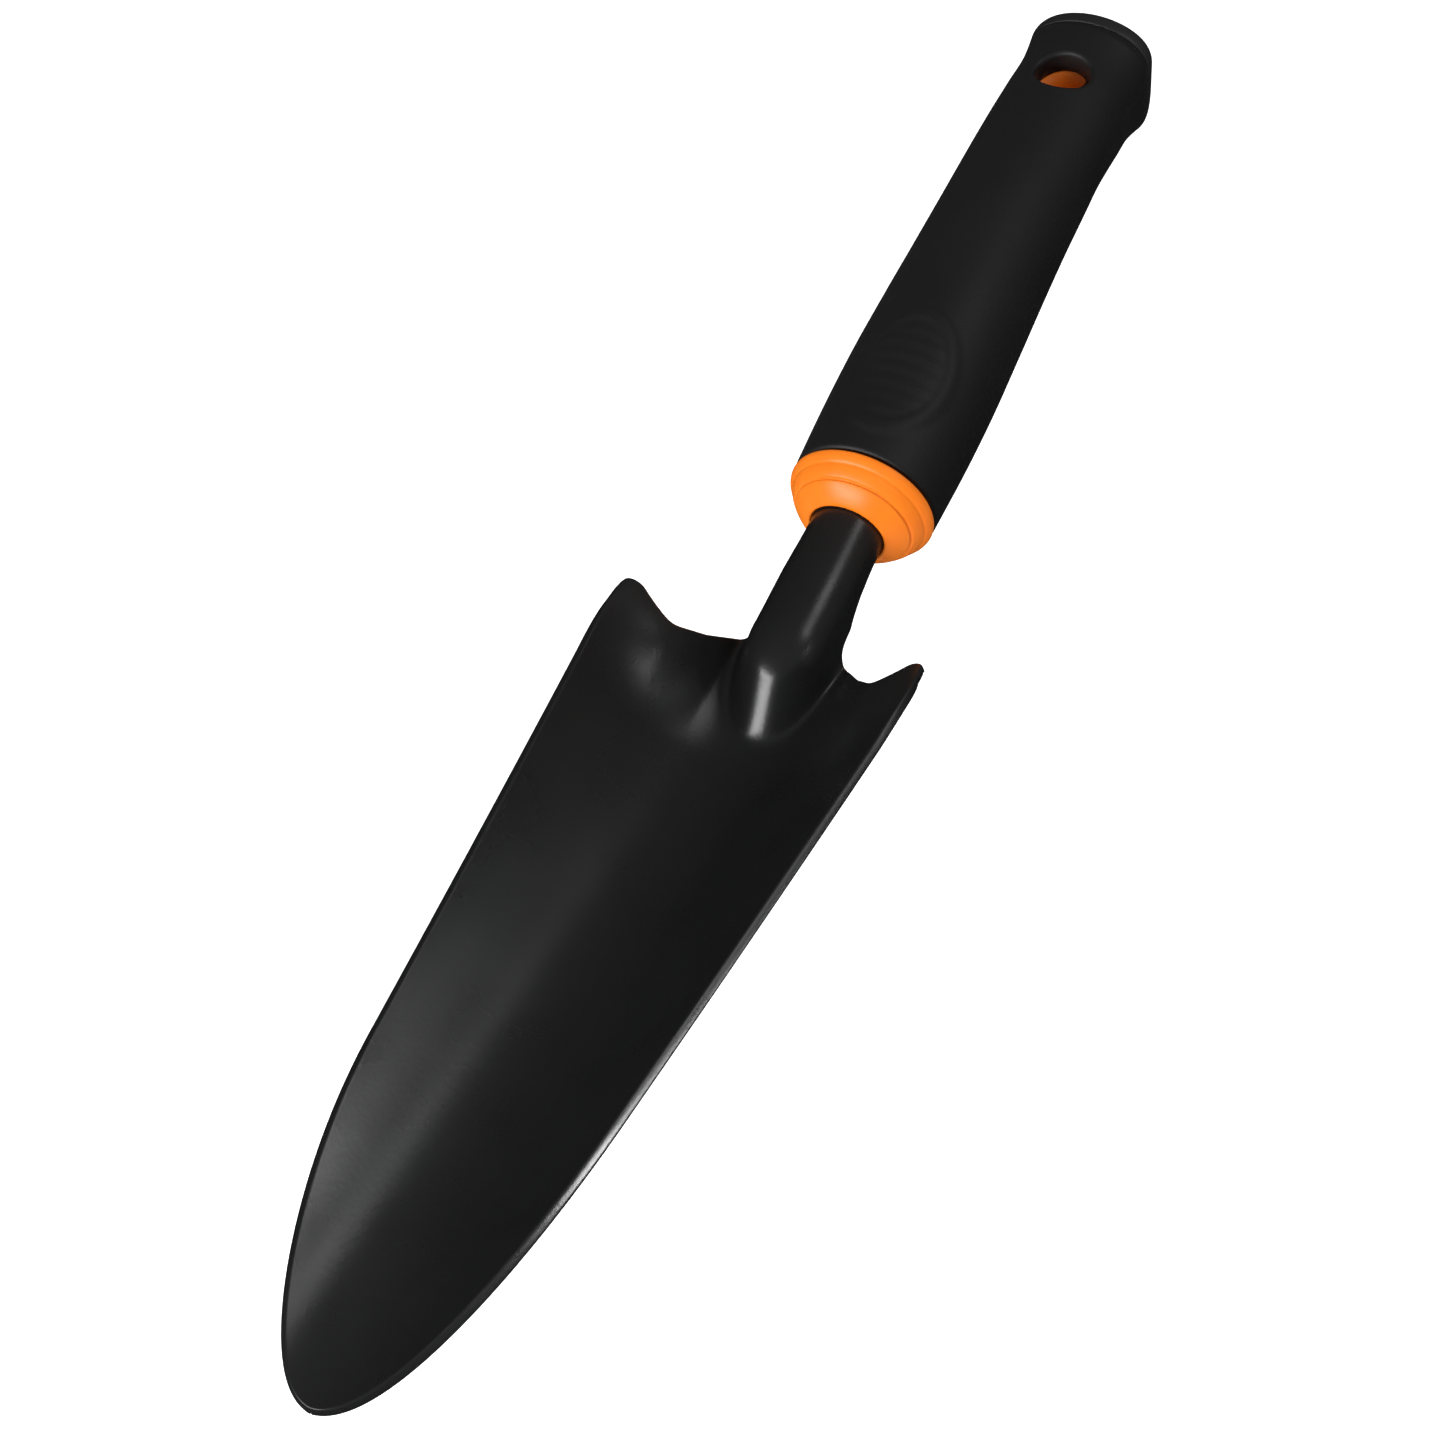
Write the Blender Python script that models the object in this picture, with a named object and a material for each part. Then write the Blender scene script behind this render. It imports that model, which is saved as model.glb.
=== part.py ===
"""Hand trowel for digging up finds: pressed steel blade with a rolled neck and
tang, orange plastic core with a stepped collar, soft black grip sleeve, rear cap
and a steel pin that locks the tang in the core.

World frame: +X to the right, +Y from the blade's tip towards the handle's rear,
+Z up on the blade's hollow side. The origin is on the flat of the rear cap, on
the handle's axis. Lengths in this file are in millimetres until place() turns
them into metres, and "station" means the distance in Y from the collar's front
face, positive into the handle.
"""

import math

import bmesh
import bpy
import numpy as np

MM = 0.001

# Handle, as stations.
HANDLE_LENGTH = 144.6
SLEEVE_FRONT = 9.3
SLEEVE_REAR = 138.3
JOINT_GAP = 0.3
CAP_FRONT = SLEEVE_REAR + JOINT_GAP
END_ROUND = 5.3
END_STEPS = 5
SLEEVE_EDGE = 0.9
SLEEVE_WALL = 2.9
HOLE_WALL_EXTRA = 3.2
HOLE_WALL_REACH = 26.0

# Grip sections: station, half width, height above and depth below the axis.
GRIP_SECTIONS = (
    (8.0, 14.9, 14.9, 15.0),
    (25.0, 15.5, 15.5, 15.1),
    (40.0, 15.6, 16.1, 14.8),
    (55.0, 15.2, 16.3, 14.1),
    (70.0, 14.7, 16.0, 13.5),
    (85.0, 14.3, 15.4, 13.3),
    (100.0, 14.1, 13.9, 14.1),
    (112.0, 13.8, 12.8, 15.0),
    (122.0, 13.3, 12.0, 16.3),
    (132.0, 12.9, 10.4, 18.1),
    (144.6, 14.2, 10.0, 23.0),
)
GRIP_SIDES = 32
GRIP_STEPS = 13
ROUND_POWER = 2.0
REAR_POWER_BELOW = 4.5
SQUARING_START = 104.0

# Thumb pad: a plain raised oval on top of the sleeve.
PAD_CENTRE = 30.5
PAD_HALF_LENGTH = 16.0
PAD_HALF_WIDTH = 10.5
PAD_HEIGHT = 0.45
PAD_EDGE = 0.25

# Hanging hole, vertical through the handle.
HOLE_STATION = 122.3
HOLE_RADIUS = 5.8
HOLE_SIDES = 32
LAND_RADIUS = 8.0
LAND_HEIGHT = 11.6

# Collar profile of the core: station and radius, front to rear.
COLLAR_PROFILE = (
    (0.3, 8.2),
    (0.6, 8.8),
    (1.3, 9.8),
    (2.3, 11.0),
    (3.3, 12.0),
    (3.45, 11.85),
    (3.75, 11.95),
    (3.9, 12.5),
    (4.8, 13.2),
    (5.7, 13.7),
    (6.2, 13.85),
    (6.6, 14.3),
    (7.4, 14.8),
    (8.1, 15.0),
    (8.5, 14.95),
    (8.7, 13.9),
    (9.0, 13.9),
)

# Tang, pin and pegs.
TUBE_RADIUS = 7.4
NECK_SWELL = 0.55
NECK_SWELL_LENGTH = 16.0
NECK_SINK = 0.35
TANG_END = 75.0
SOCKET_START = -1.0
SOCKET_END = 76.5
SOCKET_RADIUS = TUBE_RADIUS + JOINT_GAP
SOCKET_SIDES = 32
PIN_STATION = 46.0
PIN_RADIUS = 2.0
PIN_HALF_LENGTH = 11.0
PIN_CHAMFER = 0.4
PIN_SIDES = 20
PEG_X = 7.5
PEG_Z = -4.0
PEG_RADIUS = 1.4
PEG_END = 134.0
PEG_ROOT = 1.0
PEG_SIDES = 12

# Sheet.
SHEET = 1.8
SEAM_ANGLE = math.radians(168.0)

# Blade floor: a straight line down the middle, a parabola across.
TIP_STATION = -204.1
NOSE_STATION = -48.6
NOSE_Z = -6.9
TIP_Z = 36.2
CROSS_CURVE = 0.029

# Blade outline: half width against distance from the tip.
TIP_WIDTH = 17.15
SIDE_TAPER = 0.0785
TIP_LENGTH = 62.0
TIP_POWER = 2.15
HORN_STATION = -31.8
HORN_ROUND = 3.5
HORN_CUT = 1.3

# Top edge between the neck and the pointed shoulders.
NECK_X = 11.3
EDGE_KINK_X = 19.7
EDGE_KINK_STATION = -36.5
EDGE_INNER_SLOPE = 1.13
EDGE_OUTER_SLOPE = 0.515
EDGE_KINK_Z = 7.7
EDGE_INNER_RISE = 1.43
EDGE_OUTER_RISE = 0.74
EDGE_KINK_ROUND = 1.6
FLOOR_BLEND_STATION = -56.0

# Thumb ridge: crown arc, straight flank, fillet at its foot.
RIDGE_TOP = TUBE_RADIUS + NECK_SWELL - NECK_SINK
CROWN_RADIUS = TUBE_RADIUS + NECK_SWELL
FLANK_ANGLE = math.radians(74.0)
FOOT_RADIUS = 2.6
NOSE_LENGTH = 21.0
NOSE_STRETCH = 1.6
NOSE_ANGLE = math.radians(60.0)
NOSE_FOOT_RADIUS = 1.6

# Neck: opened sheet with a narrowing flange at its front, closed tube at its rear.
NECK_FRONT = EDGE_KINK_STATION + EDGE_INNER_SLOPE * (EDGE_KINK_X - NECK_X)
NECK_REAR = -4.0
NECK_STEPS = 18
NECK_CROWDING = 1.5
FLANGE_END = -22.0
CURL_END = -9.0
FLANGE_X = 9.1
FLANGE_LENGTH = 1.9

# How finely the sheet is divided.
RIDGE_COLUMNS = (0.0, 2.0, 4.0, 5.6, 6.8, 7.6, 8.2, 8.8, 9.5, 10.3, NECK_X)
WING_COLUMNS = (14.0, 17.0, 19.7, 23.0, 26.2, 28.6, 30.0)
NOSE_ZONE_END = -54.0
NOSE_ZONE_STEPS = 14
BLADE_STEPS = 13
TIP_STEPS = 7
TIP_ZONE_SHARE = 0.5

# Edges sharper than these stay crisp, in degrees.
SHEET_CREASE = 40.0
SLEEVE_CREASE = 35.0
MOULDED_CREASE = 30.0

# Materials: colour, roughness and how metallic the surface is.
BLACK_COAT = ((0.012, 0.012, 0.013, 1.0), 0.35, 0.0)
ORANGE_PLASTIC = ((0.95, 0.23, 0.02, 1.0), 0.4, 0.0)
SOFT_RUBBER = ((0.014, 0.014, 0.014, 1.0), 0.6, 0.0)
BLACK_PLASTIC = ((0.016, 0.016, 0.016, 1.0), 0.5, 0.0)
BARE_STEEL = ((0.55, 0.55, 0.56, 1.0), 0.3, 1.0)


def clear_scene():
    """Remove whatever the file held before."""
    for existing in list(bpy.data.objects):
        bpy.data.objects.remove(existing, do_unlink=True)


def place(point):
    """Millimetres and stations to metres in the world frame."""
    x, station, z = point
    return (x * MM, (station - HANDLE_LENGTH) * MM, z * MM)


def make_material(name, finish):
    """One Principled material."""
    colour, roughness, metallic = finish
    material = bpy.data.materials.new(name)
    material.use_nodes = True
    shader = material.node_tree.nodes["Principled BSDF"]
    shader.inputs["Base Color"].default_value = colour
    shader.inputs["Roughness"].default_value = roughness
    shader.inputs["Metallic"].default_value = metallic
    return material


def make_object(name, points, faces, material=None):
    """A mesh object from points in millimetres, with its faces pointing out."""
    mesh = bpy.data.meshes.new(name)
    mesh.from_pydata([place(point) for point in points], [], faces)
    build = bmesh.new()
    build.from_mesh(mesh)
    bmesh.ops.recalc_face_normals(build, faces=build.faces)
    build.to_mesh(mesh)
    build.free()
    result = bpy.data.objects.new(name, mesh)
    bpy.context.scene.collection.objects.link(result)
    if material is not None:
        mesh.materials.append(material)
    return result


def smooth_step(value):
    """Rise from 0 to 1 with level ends."""
    held = min(max(value, 0.0), 1.0)
    return held * held * (3.0 - 2.0 * held)


def soft_hinge(distance, rounding):
    """0 before a corner and the distance after it, with the corner rounded."""
    return 0.5 * (distance + math.hypot(distance, rounding))


def smooth_through(stations, values, station):
    """A smooth curve through a few values, held level beyond its ends."""
    last = len(stations) - 1
    if station <= stations[0]:
        return values[0]
    if station >= stations[last]:
        return values[last]
    index = int(np.searchsorted(stations, station, side="right")) - 1
    slopes = []
    for knot in (index, index + 1):
        before = max(knot - 1, 0)
        after = min(knot + 1, last)
        slopes.append((values[after] - values[before]) / (stations[after] - stations[before]))
    span = stations[index + 1] - stations[index]
    t = (station - stations[index]) / span
    start_weight = 1.0 - smooth_step(t)
    start_slope = slopes[0] * span * t * (1.0 - t) ** 2
    end_slope = slopes[1] * span * t * t * (t - 1.0)
    return values[index] * start_weight + values[index + 1] * (1.0 - start_weight) + start_slope + end_slope


# Sections of the handle ------------------------------------------------------


def grip_size(station):
    """Half width, height above and depth below the axis of the grip's outside."""
    stations = [section[0] for section in GRIP_SECTIONS]
    sizes = []
    for column in range(1, len(GRIP_SECTIONS[0])):
        values = [section[column] for section in GRIP_SECTIONS]
        sizes.append(smooth_through(stations, values, station))
    return sizes


def power_below(station):
    """Squareness of the section below the axis: round in front, boxy at the rear."""
    share = smooth_step((station - SQUARING_START) / (HANDLE_LENGTH - SQUARING_START))
    return ROUND_POWER + (REAR_POWER_BELOW - ROUND_POWER) * share


def ring(station, half_width, above, below):
    """One closed ring of points around the handle's axis."""
    points = []
    for step in range(GRIP_SIDES):
        angle = 2.0 * math.pi * step / GRIP_SIDES
        across = math.cos(angle)
        up = math.sin(angle)
        power = ROUND_POWER if up > 0.0 else power_below(station)
        height = above if up > 0.0 else below
        x = half_width * math.copysign(abs(across) ** (2.0 / power), across)
        z = height * math.copysign(abs(up) ** (2.0 / power), up)
        points.append((x, station, z))
    return points


def end_inset(station):
    """How far the rounded rear end has drawn in."""
    past = max(station - (HANDLE_LENGTH - END_ROUND), 0.0)
    return END_ROUND - math.sqrt(max(END_ROUND**2 - past**2, 0.0))


def grip_ring(station, inset):
    """A ring of the grip's own section, moved inwards by an inset."""
    half_width, above, below = grip_size(station)
    drawn = inset + end_inset(station)
    return ring(station, half_width - drawn, above - drawn, below - drawn)


def core_ring(station, gap):
    """A ring of the core under the sleeve, or of the sleeve's inside with a gap."""
    half_width, above, below = grip_size(station)
    near_hole = smooth_step(1.0 - abs(station - HOLE_STATION) / HOLE_WALL_REACH)
    wall = SLEEVE_WALL - gap
    vertical_wall = wall + HOLE_WALL_EXTRA * near_hole
    return ring(station, half_width - wall, above - vertical_wall, below - vertical_wall)


def loft(rings, closed_loop=False):
    """Points and faces of a surface through rings; its ends are capped, or joined."""
    points = [point for one in rings for point in one]
    sides = len(rings[0])
    faces = []
    last = len(rings) if closed_loop else len(rings) - 1
    for index in range(last):
        here = index * sides
        there = ((index + 1) % len(rings)) * sides
        for step in range(sides):
            after = (step + 1) % sides
            faces.append((here + step, here + after, there + after, there + step))
    if not closed_loop:
        faces.append(tuple(range(sides)))
        faces.append(tuple(range(last * sides, (last + 1) * sides)))
    return points, faces


def cylinder(name, radius, start, end, sides, chamfer=0.0):
    """A capped cylinder between two points that differ along one axis."""
    start = np.array(start, dtype=float)
    end = np.array(end, dtype=float)
    along = (end - start) / np.linalg.norm(end - start)
    side = np.roll(np.abs(along), 1)
    other = np.cross(along, side)
    levels = [(start, radius), (end, radius)]
    if chamfer > 0.0:
        levels = [
            (start, radius - chamfer),
            (start + along * chamfer, radius),
            (end - along * chamfer, radius),
            (end, radius - chamfer),
        ]
    rings = []
    for centre, size in levels:
        turns = [2.0 * math.pi * step / sides for step in range(sides)]
        rings.append([tuple(centre + size * (math.cos(t) * side + math.sin(t) * other)) for t in turns])
    points, faces = loft(rings)
    return make_object(name, points, faces)


# Boolean work ----------------------------------------------------------------


def pin_cutter(name, reach):
    """A cutter across the handle for the pin, with a gap around it."""
    start = (-reach, PIN_STATION, 0.0)
    end = (reach, PIN_STATION, 0.0)
    return cylinder(name, PIN_RADIUS + JOINT_GAP, start, end, PIN_SIDES)


def hang_cutter(name, radius):
    """A vertical cutter through the whole handle at the hanging hole."""
    reach = 2.0 * GRIP_SECTIONS[0][1]
    start = (0.0, HOLE_STATION, -reach)
    end = (0.0, HOLE_STATION, reach)
    return cylinder(name, radius, start, end, HOLE_SIDES)


def hide_helper(helper):
    """Mark a cutter so that it isn't part of the model."""
    helper.hide_render = True
    helper.display_type = "WIRE"


def apply_modifiers(target):
    """Turn the modified shape into the object's own mesh."""
    graph = bpy.context.evaluated_depsgraph_get()
    mesh = bpy.data.meshes.new_from_object(target.evaluated_get(graph))
    target.modifiers.clear()
    old = target.data
    target.data = mesh
    bpy.data.meshes.remove(old)


def combine(target, helper, operation):
    """Cut a helper out of the target, or join it to the target, and drop it."""
    hide_helper(helper)
    modifier = target.modifiers.new(operation.lower(), "BOOLEAN")
    modifier.operation = operation
    modifier.solver = "EXACT"
    modifier.object = helper
    apply_modifiers(target)
    bpy.data.objects.remove(helper, do_unlink=True)


def finish_surface(target, angle):
    """Smooth shading with the edges sharper than the angle kept crisp."""
    target.data.shade_smooth()
    target.data.set_sharp_from_angle(angle=math.radians(angle))


# Blade -----------------------------------------------------------------------


def blade_half_width(station):
    """Half width of the blade's outline."""
    distance = max(station - TIP_STATION, 0.0)
    width = TIP_WIDTH + SIDE_TAPER * distance
    if distance < TIP_LENGTH:
        width *= math.sqrt(max(1.0 - (1.0 - distance / TIP_LENGTH) ** TIP_POWER, 0.0))
    past = min(max(station - (HORN_STATION - HORN_ROUND), 0.0), HORN_ROUND)
    return width - HORN_CUT * (past / HORN_ROUND) ** 2


def middle_height(station):
    """Height of the blade's floor along its middle."""
    slope = (TIP_Z - NOSE_Z) / (TIP_STATION - NOSE_STATION)
    return NOSE_Z + slope * (station - NOSE_STATION)


def top_edge(x):
    """Station and height of the blade's top edge at a distance from the middle."""
    inner = soft_hinge(EDGE_KINK_X - x, EDGE_KINK_ROUND)
    outer = soft_hinge(x - EDGE_KINK_X, EDGE_KINK_ROUND)
    station = EDGE_KINK_STATION + EDGE_INNER_SLOPE * inner + EDGE_OUTER_SLOPE * outer
    height = EDGE_KINK_Z - EDGE_INNER_RISE * inner + EDGE_OUTER_RISE * outer
    horn = blade_half_width(HORN_STATION - HORN_ROUND) - x
    if horn < HORN_ROUND:
        station -= HORN_ROUND - math.sqrt(max(HORN_ROUND**2 - (HORN_ROUND - horn) ** 2, 0.0))
    return station, height


def floor_height(x, station):
    """Height of the blade's floor, without the thumb ridge."""
    plain = middle_height(station) + CROSS_CURVE * x * x
    edge_x = max(abs(x), NECK_X)
    edge_station, edge_height = top_edge(edge_x)
    edge_plain = middle_height(edge_station) + CROSS_CURVE * edge_x * edge_x
    share = smooth_step((station - FLOOR_BLEND_STATION) / (edge_station - FLOOR_BLEND_STATION))
    return plain + (edge_height - edge_plain) * share


def ridge_drop(reach, flank):
    """How far the ridge has fallen at a distance from its crown line, down to a flank's slope."""
    crown_end = CROWN_RADIUS * math.sin(flank)
    if reach <= crown_end:
        return CROWN_RADIUS - math.sqrt(CROWN_RADIUS**2 - reach**2)
    return CROWN_RADIUS * (1.0 - math.cos(flank)) + (reach - crown_end) * math.tan(flank)


def soft_max(first, second, rounding):
    """The larger of two heights, with the corner between them rounded."""
    return second + soft_hinge(first - second, rounding)


def blade_height(x, station):
    """Height of the blade's hollow side, with the thumb ridge."""
    floor = floor_height(x, station)
    ahead = max(NOSE_STATION + NOSE_LENGTH - station, 0.0) / NOSE_STRETCH
    reach = math.hypot(x, ahead)
    share = (ahead / reach) ** 2 if ahead > 0.0 else 0.0
    flank = FLANK_ANGLE + (NOSE_ANGLE - FLANK_ANGLE) * share
    ridge = RIDGE_TOP - ridge_drop(reach, flank)
    return soft_max(ridge, floor, FOOT_RADIUS + (NOSE_FOOT_RADIUS - FOOT_RADIUS) * share)


def blade_row(row_station, fade):
    """Points of one row from the middle to the outline, right half."""
    points = []
    full_width = WING_COLUMNS[-1]
    for x_top in RIDGE_COLUMNS + WING_COLUMNS:
        lift = min(top_edge(x_top)[0] - NECK_FRONT, 0.0) * fade
        station = row_station + lift
        x = x_top * blade_half_width(station) / full_width
        points.append((x, station, blade_height(x, station)))
    return points


def blade_rows():
    """All rows of the blade, from its top edge to near the tip."""
    stations = list(np.linspace(NECK_FRONT, NOSE_ZONE_END, NOSE_ZONE_STEPS + 1))
    tip_start = TIP_STATION + TIP_LENGTH * TIP_ZONE_SHARE
    stations += list(np.linspace(NOSE_ZONE_END, tip_start, BLADE_STEPS + 1))[1:]
    for step in range(1, TIP_STEPS):
        share = 1.0 - (1.0 - step / TIP_STEPS) ** 2
        stations.append(tip_start + (TIP_STATION - tip_start) * share)
    rows = []
    for station in stations:
        fade = 1.0 - smooth_step((NECK_FRONT - station) / (NECK_FRONT - tip_start))
        rows.append(blade_row(float(station), fade))
    return rows


def open_section(station):
    """Right half of the opened sheet beside the neck; its flange narrows rearwards."""
    away = station - NECK_FRONT
    edge_x = FLANGE_X + (NECK_X - FLANGE_X) * math.exp(-away / FLANGE_LENGTH)
    points = []
    for column in RIDGE_COLUMNS:
        x = column * edge_x / NECK_X
        points.append((x, station, blade_height(x, station)))
    return points


def section_lengths(points):
    """Length along a section from its first point to each of its points."""
    lengths = [0.0]
    for before, after in zip(points, points[1:]):
        lengths.append(lengths[-1] + math.hypot(after[0] - before[0], after[2] - before[2]))
    return lengths


def rolled_section(station, open_lengths):
    """Right half of the rolled sheet: a crown arc, then a side that curls to a seam."""
    swell = smooth_step(-station / NECK_SWELL_LENGTH)
    radius = TUBE_RADIUS + NECK_SWELL * swell
    sink = NECK_SINK * swell
    closing = smooth_step((station - FLANGE_END) / (NECK_REAR - FLANGE_END))
    curl = smooth_step((station - NECK_FRONT) / (CURL_END - NECK_FRONT)) / radius
    open_end = open_lengths[-1]
    stretch = 1.0 + (SEAM_ANGLE * radius / open_end - 1.0) * closing
    points = []
    for open_length in open_lengths:
        length = open_length * stretch
        turn = min(length / radius, FLANK_ANGLE)
        side = length - radius * turn
        half_bend = 0.5 * curl * side
        chord = side * float(np.sinc(half_bend / math.pi))
        x = radius * math.sin(turn) + chord * math.cos(turn + half_bend)
        z = radius * math.cos(turn) - sink - chord * math.sin(turn + half_bend)
        points.append((x, station, z))
    return points


def neck_rows():
    """Rows of the tang and the neck, from the tang's end to the blade."""
    open_lengths = section_lengths(open_section(FLANGE_END))
    rows = [rolled_section(TANG_END, open_lengths), rolled_section(0.0, open_lengths)]
    for step in range(NECK_STEPS):
        away = (1.0 - step / NECK_STEPS) ** NECK_CROWDING
        station = NECK_FRONT + (NECK_REAR - NECK_FRONT) * away
        rolled = smooth_step((station - NECK_FRONT) / (FLANGE_END - NECK_FRONT))
        row = []
        for closed, opened in zip(rolled_section(station, open_lengths), open_section(station)):
            x = opened[0] + (closed[0] - opened[0]) * rolled
            z = opened[2] + (closed[2] - opened[2]) * rolled
            row.append((x, station, z))
        rows.append(row)
    return rows


def mirror_row(row):
    """A full row from its right half; the middle point is shared."""
    left = [(-x, station, z) for x, station, z in reversed(row[1:])]
    return left + list(row)


def sheet_faces(rows, starts, widths):
    """Quads between rows that share their middle point but may differ in width."""
    faces = []
    for index in range(len(rows) - 1):
        count = min(widths[index], widths[index + 1])
        here = starts[index] + (widths[index] - count) // 2
        there = starts[index + 1] + (widths[index + 1] - count) // 2
        for step in range(count - 1):
            faces.append((here + step, here + step + 1, there + step + 1, there + step))
    return faces


def sheet_mesh():
    """Points and faces of the sheet's upper side: tang, neck, ridge and blade."""
    rows = [mirror_row(row) for row in neck_rows() + blade_rows()]
    points = []
    starts = []
    for row in rows:
        starts.append(len(points))
        points += row
    widths = [len(row) for row in rows]
    faces = sheet_faces(rows, starts, widths)
    tip = len(points)
    points.append((0.0, TIP_STATION, TIP_Z))
    for step in range(widths[-1] - 1):
        faces.append((starts[-1] + step, starts[-1] + step + 1, tip))
    return points, faces


def build_blade(material):
    """The pressed sheet: tang, neck, ridge and blade in one body."""
    points, faces = sheet_mesh()
    blade = make_object("blade", points, faces, material)
    if blade.data.polygons[-1].normal.z < 0.0:
        blade.data.flip_normals()
    solid = blade.modifiers.new("sheet", "SOLIDIFY")
    solid.thickness = SHEET * MM
    solid.offset = -1.0
    solid.use_even_offset = False
    solid.use_rim = True
    apply_modifiers(blade)
    combine(blade, pin_cutter("pin_drill", PIN_HALF_LENGTH), "DIFFERENCE")
    finish_surface(blade, SHEET_CREASE)
    return blade


# Handle ----------------------------------------------------------------------


def sleeve_stations():
    """Stations of the sleeve's rings between its two ends."""
    return [float(s) for s in np.linspace(SLEEVE_FRONT, SLEEVE_REAR, GRIP_STEPS + 1)]


def build_core(material):
    """Orange core: stepped collar, body under the sleeve, socket and bores."""
    rings = [ring(station, radius, radius, radius) for station, radius in COLLAR_PROFILE]
    rings += [core_ring(station, 0.0) for station in sleeve_stations()]
    points, faces = loft(rings)
    core = make_object("handle_core", points, faces, material)
    start = (0.0, SOCKET_START, 0.0)
    end = (0.0, SOCKET_END, 0.0)
    combine(core, cylinder("socket", SOCKET_RADIUS, start, end, SOCKET_SIDES), "DIFFERENCE")
    combine(core, hang_cutter("hang_bore", HOLE_RADIUS + JOINT_GAP), "DIFFERENCE")
    combine(core, pin_cutter("pin_bore", GRIP_SECTIONS[0][1]), "DIFFERENCE")
    for side in (-1.0, 1.0):
        socket = cylinder(
            "peg_socket",
            PEG_RADIUS + JOINT_GAP,
            (side * PEG_X, PEG_END - JOINT_GAP, PEG_Z),
            (side * PEG_X, HANDLE_LENGTH, PEG_Z),
            PEG_SIDES,
        )
        combine(core, socket, "DIFFERENCE")
    finish_surface(core, MOULDED_CREASE)
    return core


def pad_lift(x, station, z):
    """How far a point of the sleeve's outside is raised by the thumb pad."""
    if z <= 0.0:
        return 0.0
    away = math.hypot(x / PAD_HALF_WIDTH, (station - PAD_CENTRE) / PAD_HALF_LENGTH)
    return PAD_HEIGHT * smooth_step((1.0 + PAD_EDGE - away) / PAD_EDGE)


def build_sleeve(material):
    """Soft sleeve over the core, open at both ends, pierced by the hole."""
    outside = [grip_ring(SLEEVE_FRONT, SLEEVE_EDGE)]
    outside += [grip_ring(SLEEVE_FRONT + SLEEVE_EDGE, 0.0)]
    outside += [grip_ring(station, 0.0) for station in sleeve_stations()[1:]]
    lifted = []
    for one in outside:
        lifted.append([(x, s, z + pad_lift(x, s, z)) for x, s, z in one])
    inside = [core_ring(station, JOINT_GAP) for station in reversed(sleeve_stations())]
    points, faces = loft(lifted + inside, closed_loop=True)
    sleeve = make_object("grip_sleeve", points, faces, material)
    combine(sleeve, hang_cutter("hang_hole", HOLE_RADIUS), "DIFFERENCE")
    land = cylinder(
        "hang_land",
        LAND_RADIUS,
        (0.0, HOLE_STATION, LAND_HEIGHT),
        (0.0, HOLE_STATION, 2.0 * LAND_HEIGHT),
        HOLE_SIDES,
    )
    combine(sleeve, land, "DIFFERENCE")
    finish_surface(sleeve, SLEEVE_CREASE)
    return sleeve


def build_cap(material):
    """Rear cap with a rounded edge and two pegs into the core."""
    first_angle = math.asin(1.0 - (HANDLE_LENGTH - CAP_FRONT) / END_ROUND)
    rings = []
    for step in range(END_STEPS + 1):
        angle = first_angle + (0.5 * math.pi - first_angle) * step / END_STEPS
        station = HANDLE_LENGTH - END_ROUND * (1.0 - math.sin(angle))
        rings.append(grip_ring(station, 0.0))
    points, faces = loft(rings)
    cap = make_object("end_cap", points, faces, material)
    for side in (-1.0, 1.0):
        peg = cylinder(
            "peg",
            PEG_RADIUS,
            (side * PEG_X, PEG_END, PEG_Z),
            (side * PEG_X, CAP_FRONT + PEG_ROOT, PEG_Z),
            PEG_SIDES,
        )
        combine(cap, peg, "UNION")
    finish_surface(cap, MOULDED_CREASE)
    return cap


def build_pin(material):
    """Cross pin through the core and the tang."""
    pin = cylinder(
        "tang_pin",
        PIN_RADIUS,
        (-PIN_HALF_LENGTH, PIN_STATION, 0.0),
        (PIN_HALF_LENGTH, PIN_STATION, 0.0),
        PIN_SIDES,
        PIN_CHAMFER,
    )
    pin.data.materials.append(material)
    finish_surface(pin, MOULDED_CREASE)
    return pin


def main():
    """Build the whole trowel."""
    clear_scene()
    build_blade(make_material("black_coat", BLACK_COAT))
    build_core(make_material("orange_plastic", ORANGE_PLASTIC))
    build_sleeve(make_material("soft_rubber", SOFT_RUBBER))
    build_cap(make_material("black_plastic", BLACK_PLASTIC))
    build_pin(make_material("bare_steel", BARE_STEEL))


main()
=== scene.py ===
import math

import bmesh
import bpy
import numpy as np
from mathutils import Matrix, Vector


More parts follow.
